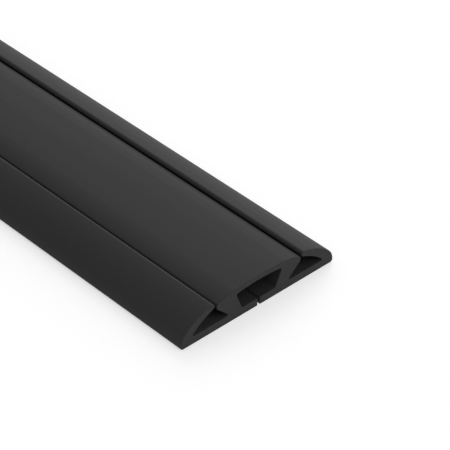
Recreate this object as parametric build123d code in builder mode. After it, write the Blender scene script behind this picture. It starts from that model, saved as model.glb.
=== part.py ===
"""Floor cord protector: one extruded length of flexible PVC with three cord channels.

The length runs along X and the width along Y. The flat base lies on Z = 0, with the origin
at its middle. The centre channel opens downwards through a split in the base, and each side
channel opens upwards through the slit between the hump and a flap.
"""

import os
from math import sqrt

from build123d import *

# One length as it is sold, in millimetres
length = 1524.0
width = 76.2
height = 14.0

# Base that lies on the floor, split under the centre channel so that cords press in
base_thickness = 3.4
base_split = 1.2

# Hump, arched on top, with a blunt nose that overhangs each side channel
hump_width = 41.8
hump_radius = 79.0
nose_depth = 1.8
nose_rounding = 0.9

# Centre channel, wider under its roof than at its floor
roof_thickness = 2.15
channel_roof_width = 22.9
channel_floor_width = 16.5
channel_rounding = 0.8

# Web that leans outwards on each side of the centre channel
web_foot_thickness = 6.3

# Flap on each side. From a rounded edge on the floor it turns over a shoulder to its slope,
# then rises to a free inner lip, round through an angle. Angles are in degrees.
edge_radius = 1.2
shoulder_radius = 7.0
flap_slope = 41.0
flap_slit = 1.05
lip_step = 1.4
lip_radius = 1.15
lip_turn = 170.0
flap_root_thickness = 5.1
side_channel_rounding = 0.5


def arch_height(crown_height, radius, across):
    """Height of an arch at a distance across from its crown, which is above the middle."""
    return crown_height - radius + sqrt(radius**2 - across**2)


# Sharp corners of one half of the section: distance across from the middle, then height
crown = Vector(0, height)
nose_across = hump_width / 2
nose_top = Vector(nose_across, arch_height(height, hump_radius, nose_across))
nose_bottom = nose_top - Vector(0, nose_depth)

roof_height = height - roof_thickness
roof_radius = hump_radius - roof_thickness
roof_middle = Vector(0, roof_height)
roof_across = channel_roof_width / 2
roof_corner = Vector(roof_across, arch_height(roof_height, roof_radius, roof_across))
floor_corner = Vector(channel_floor_width / 2, base_thickness)
split_top = Vector(base_split / 2, base_thickness)
split_bottom = Vector(base_split / 2, 0)

web_foot = floor_corner + Vector(web_foot_thickness, 0)
flap_root = Vector(width / 2 - flap_root_thickness, base_thickness)
lip_start = nose_top + Vector(flap_slit + lip_radius, lip_step)
edge_start = Vector(width / 2 - edge_radius, 0)

# Rounding of each corner
roundings = [
    (nose_top, nose_rounding),
    (nose_bottom, nose_rounding),
    (flap_root, side_channel_rounding),
    (web_foot, side_channel_rounding),
    (roof_corner, channel_rounding),
    (floor_corner, channel_rounding),
]

with BuildPart() as cord_protector:
    with BuildSketch(Plane.YZ) as section:
        with BuildLine():
            base = Line(split_bottom, edge_start)
            edge = JernArc(base @ 1, base % 1, edge_radius, 90)
            shoulder = JernArc(edge @ 1, edge % 1, shoulder_radius, 90 - flap_slope)
            flap_top = TangentArc(shoulder @ 1, lip_start, tangent=shoulder % 1)
            lip = JernArc(flap_top @ 1, flap_top % 1, lip_radius, lip_turn)
            TangentArc(lip @ 1, flap_root, tangent=lip % 1)
            Polyline(flap_root, web_foot, nose_bottom, nose_top)
            TangentArc(crown, nose_top, tangent=(1, 0))
            Line(crown, roof_middle)
            TangentArc(roof_middle, roof_corner, tangent=(1, 0))
            Polyline(roof_corner, floor_corner, split_top, split_bottom)
        make_face()
        for corner, rounding in roundings:
            fillet(section.vertices().sort_by_distance(corner)[0], rounding)
        mirror(about=Plane.YZ)
    extrude(amount=length / 2, both=True)

cord_protector.part.label = "cord_protector"
os.makedirs("parts", exist_ok=True)
export_step(cord_protector.part, "parts/cord_protector.step")
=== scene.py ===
"""Floor cord protector as it is sold: one straight length of soft black PVC on a pale floor.

The strip is a fine mesh of the extruded section, with the slightly softened edges of a knife
cut at both ends. It has the sizes of the solid, apart from its hump, which is a little flatter
over the crown and leans a little to one side. Section sizes are in millimetres.
"""

from math import acos, ceil, cos, pi, radians, sin, sqrt

import bmesh
import bpy
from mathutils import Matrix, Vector
from mathutils.geometry import intersect_line_line_2d, intersect_line_sphere_2d


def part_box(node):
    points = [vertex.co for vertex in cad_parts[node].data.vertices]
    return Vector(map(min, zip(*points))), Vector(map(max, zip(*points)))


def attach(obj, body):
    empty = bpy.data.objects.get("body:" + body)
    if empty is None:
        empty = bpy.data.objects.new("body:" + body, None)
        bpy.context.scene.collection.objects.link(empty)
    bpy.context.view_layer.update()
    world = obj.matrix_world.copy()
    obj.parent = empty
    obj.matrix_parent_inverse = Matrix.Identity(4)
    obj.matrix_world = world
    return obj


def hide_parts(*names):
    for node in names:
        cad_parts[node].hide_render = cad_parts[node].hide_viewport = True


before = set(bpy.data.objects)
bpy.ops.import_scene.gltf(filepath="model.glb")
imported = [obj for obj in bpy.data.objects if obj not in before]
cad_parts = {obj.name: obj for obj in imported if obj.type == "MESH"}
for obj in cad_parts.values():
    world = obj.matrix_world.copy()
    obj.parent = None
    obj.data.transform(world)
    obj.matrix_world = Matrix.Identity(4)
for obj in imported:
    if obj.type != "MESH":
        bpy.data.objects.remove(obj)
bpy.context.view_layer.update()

# Node that the strip stands for, with its half length in metres and the reach of its section
NODE = "cord_protector"
MM = 0.001
HIGH_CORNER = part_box(NODE)[1]
HALF_LENGTH = HIGH_CORNER.x
HALF_WIDTH = HIGH_CORNER.y / MM
HEIGHT = HIGH_CORNER.z / MM

# Base, split under the centre channel
BASE_THICKNESS = 3.4
BASE_SPLIT = 1.2
SPLIT_SOFTENING = 0.3

# Hump, gently arched over its crown and turned down on each side to a blunt nose over the
# side channel. It is soft, and its noses lean this far to the +Y side as it lies.
CROWN_HALF_WIDTH = 12.0
CROWN_RADIUS = 160.0
HUMP_HALF_WIDTH = 20.9
NOSE_HEIGHT = 11.185
NOSE_DEPTH = 1.8
NOSE_ROUNDING = 0.9
HUMP_LEAN = 0.3

# Centre channel, wider under its roof than at its floor, with a web on each side
ROOF_HEIGHT = 11.85
ROOF_RADIUS = 76.85
ROOF_HALF_WIDTH = 11.45
FLOOR_HALF_WIDTH = 8.25
CHANNEL_ROUNDING = 0.8
WEB_FOOT_THICKNESS = 6.3

# Flap, from its rounded edge on the floor over a shoulder and up to its free round lip
EDGE_RADIUS = 1.2
SHOULDER_RADIUS = 7.0
FLAP_SLOPE = radians(41)
FLAP_SLIT = 1.05
LIP_STEP = 1.4
LIP_RADIUS = 1.15
LIP_TURN = radians(170)
FLAP_ROOT_THICKNESS = 5.1
SIDE_CHANNEL_ROUNDING = 0.5

# Directions in the section, and corners that neighbouring parts of it share, each across from
# the middle and up
ACROSS = Vector((1, 0))
UP = Vector((0, 1))
SPLIT_BOTTOM = Vector((BASE_SPLIT / 2, 0))
FLOOR_CORNER = Vector((FLOOR_HALF_WIDTH, BASE_THICKNESS))
FLAP_ROOT = Vector((HALF_WIDTH - FLAP_ROOT_THICKNESS, BASE_THICKNESS))
NOSE_TOP = Vector((HUMP_HALF_WIDTH, NOSE_HEIGHT))

# Mesh: how far lines are drawn on to find where they cross, how far a chord may lie inside its
# arc, the longest straight span across the section, the number of spans along the length, and
# the softened edge of the cut ends
DRAWN_ON = 100
CHORD_ERROR = 0.004
LONGEST_SPAN = 3.0
SPANS_ALONG = 48
CUT_SOFTENING = 0.25
CUT_STEPS = 4

# Photograph's frame and focal length in pixels, and the camera's sensor in millimetres and its
# direction, with the distance in metres to the middle of the near end's base, the pixel where
# that point shows, and the depths in metres that are drawn
FRAME_PIXELS = 450
FOCAL_PIXELS = 2179.62
SENSOR_WIDTH = 36.0
CAMERA_AZIMUTH = radians(47.245)
CAMERA_ELEVATION = radians(37.411)
NEAR_END_DISTANCE = 0.7966
NEAR_END_PIXEL = Vector((258.73, 304.93))
NEAREST_DRAWN = 0.01
FARTHEST_DRAWN = 200

# Soft black PVC. Colours are linear, and relief is in metres. A texture gives its features to
# the metre along the length, across it and up, then its levels of detail. A noise mostly stays
# in the range given.
NOISE_RANGE = 0.3, 0.7
PVC_DARK = (0.0225, 0.0225, 0.0230, 1)
PVC_PALE = (0.0250, 0.0250, 0.0253, 1)
PVC_GLOSS = 0.25
PVC_ROUGHNESS = 0.68, 0.72
CLOUDS = (9, 45, 45), 3
DIE_LINES = (4, 1100, 1100), 2
DIE_LINE_DEPTH = 2e-6
GRAIN = (3000, 3000, 3000), 1
GRAIN_DEPTH = 3e-6

# Cut ends, a little paler and mottled, with faint upright marks from the blade. The mask
# begins and ends at these lengthwise parts of the normal.
CUT_DARK = (0.0250, 0.0250, 0.0254, 1)
CUT_PALE = (0.0315, 0.0315, 0.0318, 1)
CUT_MASK = 0.60, 0.95
MOTTLES = (700, 700, 700), 2
BLADE_MARKS = (100, 1600, 120), 2
BLADE_MARK_DEPTH = 2e-5

# Studio: the floor in metres and what it gains where it is seen, the surroundings, and the
# softboxes in metres and watts, each with the azimuth and elevation that it shines from
WHITE = (1, 1, 1, 1)
FLOOR_REACH = 60.0
FLOOR_GAP = 0.00005
FLOOR_COLOUR = (0.60, 0.60, 0.60, 1)
FLOOR_ROUGHNESS = 0.9
FLOOR_LIFT = 0.50
SURROUNDINGS = 0.50
SOFTBOX_SIZE = 3.0
SOFTBOX_DISTANCE = 4.0
KEY_FROM = radians(205), radians(30)
KEY_WATTS = 82
FRONT_FROM = radians(90), radians(35)
FRONT_WATTS = 40


def left_of(heading):
    """Unit vector a quarter turn to the left of a heading."""
    return Vector((-heading.y, heading.x))


def turned(vector, angle):
    """A plane vector turned to the left by an angle in radians."""
    return Vector((
        vector.x * cos(angle) - vector.y * sin(angle),
        vector.x * sin(angle) + vector.y * cos(angle),
    ))


class Line:
    """Straight run of the outline, with the material on its left."""

    def __init__(self, start, end):
        self.start = start
        self.end = end
        self.heading = (end - start).normalized()
        self.end_heading = self.heading

    def drawn_on(self):
        """Ends of the line once it is drawn on both ways."""
        reach = self.heading * DRAWN_ON
        return self.start - reach, self.end + reach

    def beside(self, distance):
        """The same run at a distance to the left."""
        shift = left_of(self.heading) * distance
        return Line(self.start + shift, self.end + shift)

    def nearest(self, point):
        """Place on the run, drawn on, that is nearest to a point."""
        return self.start + self.heading * (point - self.start).dot(self.heading)

    def cut(self, start, end):
        """The stretch of the run between two of its places."""
        return Line(start, end)

    def samples(self):
        """Places along the run with their outward normals."""
        spans = ceil((self.end - self.start).length / LONGEST_SPAN)
        outward = -left_of(self.heading)
        return [(self.start.lerp(self.end, i / spans), outward) for i in range(spans + 1)]


class Arc:
    """Round run of the outline, which turns left where its turn in radians is positive."""

    def __init__(self, centre, start, turn):
        self.centre = centre
        self.start = start
        self.turn = turn
        self.spoke = start - centre
        self.radius = self.spoke.length
        self.side = 1 if turn > 0 else -1
        self.end = centre + turned(self.spoke, turn)
        self.heading = left_of(self.spoke.normalized()) * self.side
        self.end_heading = turned(self.heading, turn)

    def beside(self, distance):
        """The same run at a distance to the left."""
        scale = 1 - self.side * distance / self.radius
        return Arc(self.centre, self.centre + self.spoke * scale, self.turn)

    def nearest(self, point):
        """Place on the arc's whole circle that is nearest to a point."""
        return self.centre + (point - self.centre).normalized() * self.radius

    def cut(self, start, end):
        """The stretch of the run between two of its places."""
        turn = (end - self.centre).angle_signed(start - self.centre)
        return Arc(self.centre, start, turn)

    def samples(self):
        """Places along the run with their outward normals."""
        step = 2 * acos(1 - CHORD_ERROR / self.radius)
        spans = ceil(abs(self.turn) / step)
        found = []
        for i in range(spans + 1):
            spoke = turned(self.spoke, self.turn * i / spans)
            found.append((self.centre + spoke, spoke.normalized() * self.side))
        return found


def arc_along(start, heading, radius, turn):
    """Left-turning arc that starts along a heading."""
    return Arc(start + left_of(heading) * radius, start, turn)


def arc_to(start, heading, end):
    """Arc to an end point that starts along a heading."""
    chord = end - start
    reach = chord.length_squared / (2 * chord.dot(left_of(heading)))
    return Arc(start + left_of(heading) * reach, start, 2 * chord.angle_signed(heading))


def crossing(first, second, near):
    """Where two runs, drawn on past their ends, cross nearest to a point. One may be an arc."""
    if isinstance(first, Arc):
        first, second = second, first
    if isinstance(second, Line):
        return intersect_line_line_2d(*first.drawn_on(), *second.drawn_on())
    found = intersect_line_sphere_2d(*first.drawn_on(), second.centre, second.radius)
    return min((place for place in found if place), key=lambda place: (place - near).length)


def rounded(runs):
    """Runs with the corner at the end of each rounded by the radius given with it."""
    made = [runs[0][0]]
    for (_, radius), (after, _) in zip(runs, runs[1:]):
        before = made.pop()
        if not radius:
            made += [before, after]
            continue
        side = 1 if before.end_heading.cross(after.heading) > 0 else -1
        tracks = before.beside(side * radius), after.beside(side * radius)
        centre = crossing(*tracks, before.end)
        leave, meet = before.nearest(centre), after.nearest(centre)
        turn = (meet - centre).angle_signed(leave - centre)
        corner = Arc(centre, leave, turn)
        made += [before.cut(before.start, leave), corner, after.cut(meet, after.end)]
    return made


def arch_height(crown_height, radius, across):
    """Height of an arch at a distance across from its crown."""
    return crown_height - radius + sqrt(radius**2 - across**2)


def channel_runs():
    """Runs from the middle of the channel's roof down its side and out through the split."""
    roof_middle = Vector((0, ROOF_HEIGHT))
    roof_corner = Vector((ROOF_HALF_WIDTH, arch_height(ROOF_HEIGHT, ROOF_RADIUS, ROOF_HALF_WIDTH)))
    split_top = Vector((BASE_SPLIT / 2, BASE_THICKNESS))
    return [
        (arc_to(roof_middle, ACROSS, roof_corner), CHANNEL_ROUNDING),
        (Line(roof_corner, FLOOR_CORNER), CHANNEL_ROUNDING),
        (Line(FLOOR_CORNER, split_top), SPLIT_SOFTENING),
        (Line(split_top, SPLIT_BOTTOM), SPLIT_SOFTENING),
    ]


def flap_runs():
    """Runs along the base, over the flap, round its lip and back under it to its root."""
    edge_start = Vector((HALF_WIDTH - EDGE_RADIUS, 0))
    lip_start = NOSE_TOP + Vector((FLAP_SLIT + LIP_RADIUS, LIP_STEP))
    edge = arc_along(edge_start, ACROSS, EDGE_RADIUS, pi / 2)
    shoulder = arc_along(edge.end, edge.end_heading, SHOULDER_RADIUS, pi / 2 - FLAP_SLOPE)
    flap_top = arc_to(shoulder.end, shoulder.end_heading, lip_start)
    lip = arc_along(lip_start, flap_top.end_heading, LIP_RADIUS, LIP_TURN)
    underside = arc_to(lip.end, lip.end_heading, FLAP_ROOT)
    return [
        (Line(SPLIT_BOTTOM, edge_start), 0),
        (edge, 0),
        (shoulder, 0),
        (flap_top, 0),
        (lip, 0),
        (underside, SIDE_CHANNEL_ROUNDING),
    ]


def hump_runs():
    """Runs from the flap's root along the side channel, up the web and nose and to the crown."""
    web_foot = FLOOR_CORNER + Vector((WEB_FOOT_THICKNESS, 0))
    nose_bottom = NOSE_TOP - Vector((0, NOSE_DEPTH))
    crown_centre = Vector((0, HEIGHT - CROWN_RADIUS))
    crown_edge = Vector((CROWN_HALF_WIDTH, arch_height(HEIGHT, CROWN_RADIUS, CROWN_HALF_WIDTH)))
    crown = Arc(crown_centre, crown_edge, UP.angle_signed(crown_edge - crown_centre))
    turned_down = arc_to(crown_edge, -crown.heading, NOSE_TOP)
    return [
        (Line(FLAP_ROOT, web_foot), SIDE_CHANNEL_ROUNDING),
        (Line(web_foot, nose_bottom), NOSE_ROUNDING),
        (Line(nose_bottom, NOSE_TOP), NOSE_ROUNDING),
        (Arc(turned_down.centre, NOSE_TOP, -turned_down.turn), 0),
        (crown, 0),
    ]


def leaned(point, outward):
    """A place and its normal, moved across by its share of the lean where it is on the hump."""
    rise = point.y - BASE_THICKNESS
    if rise <= 0 or abs(point.x) > HUMP_HALF_WIDTH + FLAP_SLIT / 2:
        return point, outward
    slant = HUMP_LEAN / (NOSE_HEIGHT - BASE_THICKNESS)
    normal = outward - Vector((0, slant * outward.x))
    return point + Vector((slant * rise, 0)), normal.normalized()


def section_outline():
    """Closed outline of the whole section: places across and up, with outward normals."""
    half = []
    for run in rounded(channel_runs() + flap_runs() + hump_runs()):
        half += run.samples()[1 if half else 0:]
    other = [(Vector((-p.x, p.y)), Vector((-n.x, n.y))) for p, n in reversed(half[1:-1])]
    return [leaned(point, outward) for point, outward in half + other]


def end_rings():
    """Inset, distance from the cut and lean of the normal for each ring of a softened end."""
    rings = []
    for i in range(CUT_STEPS + 1):
        lean = pi / 2 * i / CUT_STEPS
        rings.append((CUT_SOFTENING * (1 - sin(lean)), CUT_SOFTENING * (1 - cos(lean)), lean))
    return rings


def strip_rings():
    """Place along the length, inset, and lean and end of the normal for every ring."""
    near = [(HALF_LENGTH - back * MM, inset, lean, 1) for inset, back, lean in end_rings()]
    far = [(-x, inset, lean, -1) for x, inset, lean, _ in near]
    start, stop = far[-1][0], near[-1][0]
    step = (stop - start) / SPANS_ALONG
    middle = [(start + step * i, 0, pi / 2, 1) for i in range(1, SPANS_ALONG)]
    return far + middle + list(reversed(near))


def strip_surface(outline, rings):
    """Places on the strip in metres, ring by ring, and their outward normals."""
    places, normals = [], []
    for x, inset, lean, end in rings:
        for point, outward in outline:
            at = (point - outward * inset) * MM
            places.append((x, at.x, at.y))
            normals.append((end * cos(lean), outward.x * sin(lean), outward.y * sin(lean)))
    return places, normals


def strip_faces(count, ring_count):
    """Quads from each ring of so many places to the next, and a cap on each end."""
    faces = []
    for ring in range(ring_count - 1):
        low, high = ring * count, (ring + 1) * count
        for i in range(count):
            j = (i + 1) % count
            faces.append((low + i, low + j, high + j, high + i))
    last = (ring_count - 1) * count
    far_cap = tuple(reversed(range(count)))
    near_cap = tuple(range(last, last + count))
    return faces + [far_cap, near_cap]


def divide_caps(mesh):
    """Divide the end caps, the only faces with more than four corners, into triangles."""
    work = bmesh.new()
    work.from_mesh(mesh)
    caps = [face for face in work.faces if len(face.verts) > 4]
    bmesh.ops.triangulate(work, faces=caps, ngon_method="BEAUTY")
    work.to_mesh(mesh)
    work.free()


def added(name, data):
    """New object in the scene."""
    made = bpy.data.objects.new(name, data)
    bpy.context.scene.collection.objects.link(made)
    return made


def make_strip():
    """The whole strip as one closed mesh with the section's own normals."""
    outline = section_outline()
    rings = strip_rings()
    places, normals = strip_surface(outline, rings)
    mesh = bpy.data.meshes.new("strip")
    mesh.from_pydata(places, [], strip_faces(len(outline), len(rings)))
    divide_caps(mesh)
    mesh.shade_smooth()
    mesh.normals_split_custom_set_from_vertices(normals)
    mesh.materials.append(flexible_pvc())
    return added("strip", mesh)


def new_material(name):
    """New node material, with its node tree and its shader."""
    material = bpy.data.materials.new(name)
    material.use_nodes = True
    tree = material.node_tree
    return material, tree, tree.nodes["Principled BSDF"]


def feed(tree, value, socket):
    """Give a socket a fixed value or a node's output."""
    if isinstance(value, bpy.types.NodeSocket):
        tree.links.new(value, socket)
    else:
        socket.default_value = value


def reckon(tree, operation, *values):
    """Result of a Math node on fixed values and node outputs."""
    node = tree.nodes.new("ShaderNodeMath")
    node.operation = operation
    for value, socket in zip(values, node.inputs):
        feed(tree, value, socket)
    return node.outputs["Value"]


def noise(tree, place, per_metre, detail):
    """Noise with a number of features to the metre along each axis."""
    mapping = tree.nodes.new("ShaderNodeMapping")
    texture = tree.nodes.new("ShaderNodeTexNoise")
    feed(tree, place, mapping.inputs["Vector"])
    feed(tree, per_metre, mapping.inputs["Scale"])
    feed(tree, mapping.outputs["Vector"], texture.inputs["Vector"])
    feed(tree, 1, texture.inputs["Scale"])
    feed(tree, detail, texture.inputs["Detail"])
    return texture.outputs["Fac"]


def spread(tree, value, low, high, usual=NOISE_RANGE):
    """A value stretched from its usual range to a range of its own."""
    stretch = tree.nodes.new("ShaderNodeMapRange")
    feed(tree, value, stretch.inputs["Value"])
    feed(tree, usual[0], stretch.inputs["From Min"])
    feed(tree, usual[1], stretch.inputs["From Max"])
    feed(tree, low, stretch.inputs["To Min"])
    feed(tree, high, stretch.inputs["To Max"])
    return stretch.outputs["Result"]


def blend(tree, amount, first, second):
    """Colour between two colours, each a fixed colour or a node's output."""
    mix = tree.nodes.new("ShaderNodeMix")
    mix.data_type = "RGBA"
    feed(tree, amount, mix.inputs["Factor"])
    feed(tree, first, mix.inputs["A"])
    feed(tree, second, mix.inputs["B"])
    return mix.outputs["Result"]


def bump(tree, height, depth, under=None, strength=None):
    """Surface relief of a depth in metres, laid over another relief."""
    relief = tree.nodes.new("ShaderNodeBump")
    feed(tree, height, relief.inputs["Height"])
    feed(tree, depth, relief.inputs["Distance"])
    if under:
        feed(tree, under, relief.inputs["Normal"])
    if strength:
        feed(tree, strength, relief.inputs["Strength"])
    return relief.outputs["Normal"]


def cut_face_mask(tree, normal):
    """1 where a surface faces along the length, which is on the cut ends, and 0 elsewhere."""
    parts = tree.nodes.new("ShaderNodeSeparateXYZ")
    feed(tree, normal, parts.inputs["Vector"])
    lengthwise = reckon(tree, "ABSOLUTE", parts.outputs["X"])
    return spread(tree, lengthwise, 0, 1, CUT_MASK)


def flexible_pvc():
    """Soft black PVC: satin, with faint die lines, a fine grain and paler marked cut ends."""
    material, tree, shader = new_material("flexible_pvc")
    coordinates = tree.nodes.new("ShaderNodeTexCoord")
    place = coordinates.outputs["Object"]
    cut_face = cut_face_mask(tree, coordinates.outputs["Normal"])
    die_lines = noise(tree, place, *DIE_LINES)

    skin = blend(tree, spread(tree, noise(tree, place, *CLOUDS), 0, 1), PVC_DARK, PVC_PALE)
    cut = blend(tree, spread(tree, noise(tree, place, *MOTTLES), 0, 1), CUT_DARK, CUT_PALE)
    relief = bump(tree, die_lines, DIE_LINE_DEPTH)
    relief = bump(tree, noise(tree, place, *GRAIN), GRAIN_DEPTH, relief)
    relief = bump(tree, noise(tree, place, *BLADE_MARKS), BLADE_MARK_DEPTH, relief, cut_face)

    feed(tree, blend(tree, cut_face, skin, cut), shader.inputs["Base Color"])
    feed(tree, spread(tree, die_lines, *PVC_ROUGHNESS), shader.inputs["Roughness"])
    feed(tree, PVC_GLOSS, shader.inputs["Specular IOR Level"])
    feed(tree, relief, shader.inputs["Normal"])
    return material


def pale_floor():
    """Floor material: pale, and lifted to white where it is seen and no shadow lies."""
    material, tree, shader = new_material("pale_floor")
    path = tree.nodes.new("ShaderNodeLightPath")
    seen = path.outputs["Is Camera Ray"]
    for ray in ("Is Glossy Ray", "Is Transmission Ray"):
        seen = reckon(tree, "MAXIMUM", seen, path.outputs[ray])
    feed(tree, FLOOR_COLOUR, shader.inputs["Base Color"])
    feed(tree, FLOOR_ROUGHNESS, shader.inputs["Roughness"])
    feed(tree, 0, shader.inputs["Specular IOR Level"])
    feed(tree, WHITE, shader.inputs["Emission Color"])
    feed(tree, reckon(tree, "MULTIPLY", seen, FLOOR_LIFT), shader.inputs["Emission Strength"])
    return material


def make_floor():
    """Wide plain floor just under the base."""
    sides = (-1, -1), (1, -1), (1, 1), (-1, 1)
    corners = [(x * FLOOR_REACH, y * FLOOR_REACH, -FLOOR_GAP) for x, y in sides]
    mesh = bpy.data.meshes.new("floor")
    mesh.from_pydata(corners, [], [(0, 1, 2, 3)])
    mesh.materials.append(pale_floor())
    floor = added("floor", mesh)


def towards(azimuth, elevation):
    """Unit vector to a place seen from the object, with azimuth 0 on the -Y side."""
    flat = cos(elevation)
    return Vector((sin(azimuth) * flat, -cos(azimuth) * flat, sin(elevation)))


def aim(made, direction):
    """Turn a light or a camera to face a direction."""
    made.rotation_mode = "QUATERNION"
    made.rotation_quaternion = direction.to_track_quat("-Z", "Y")


def add_softbox(name, shines_from, watts):
    """Square soft light that faces the middle of the strip."""
    data = bpy.data.lights.new(name, "AREA")
    data.shape = "SQUARE"
    data.size = SOFTBOX_SIZE
    data.energy = watts
    light = added(name, data)
    direction = towards(*shines_from)
    light.location = direction * SOFTBOX_DISTANCE
    aim(light, -direction)


def light_studio():
    """Pale surroundings, with a softbox behind the strip and another off its near end."""
    world = bpy.data.worlds.new("studio")
    world.use_nodes = True
    surroundings = world.node_tree.nodes["Background"]
    surroundings.inputs["Color"].default_value = WHITE
    surroundings.inputs["Strength"].default_value = SURROUNDINGS
    bpy.context.scene.world = world
    add_softbox("behind", KEY_FROM, KEY_WATTS)
    add_softbox("in_front", FRONT_FROM, FRONT_WATTS)


def add_camera():
    """Camera at the photograph's viewing angle."""
    back = towards(CAMERA_AZIMUTH, CAMERA_ELEVATION)
    right = Vector((cos(CAMERA_AZIMUTH), sin(CAMERA_AZIMUTH), 0))
    up = back.cross(right)
    frame_middle = Vector((1, 1)) * FRAME_PIXELS / 2
    off_centre = (NEAR_END_PIXEL - frame_middle) * NEAR_END_DISTANCE / FOCAL_PIXELS
    near_end = Vector((HALF_LENGTH, 0, 0))

    data = bpy.data.cameras.new("camera")
    data.sensor_width = SENSOR_WIDTH
    data.lens = SENSOR_WIDTH * FOCAL_PIXELS / FRAME_PIXELS
    data.clip_start = NEAREST_DRAWN
    data.clip_end = FARTHEST_DRAWN
    camera = added("camera", data)
    camera.location = near_end + back * NEAR_END_DISTANCE - right * off_centre.x + up * off_centre.y
    aim(camera, -back)
    bpy.context.scene.camera = camera


strip = make_strip()
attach(strip, "root")
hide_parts(NODE)

make_floor()
light_studio()
add_camera()
bpy.context.scene.view_settings.view_transform = "Standard"
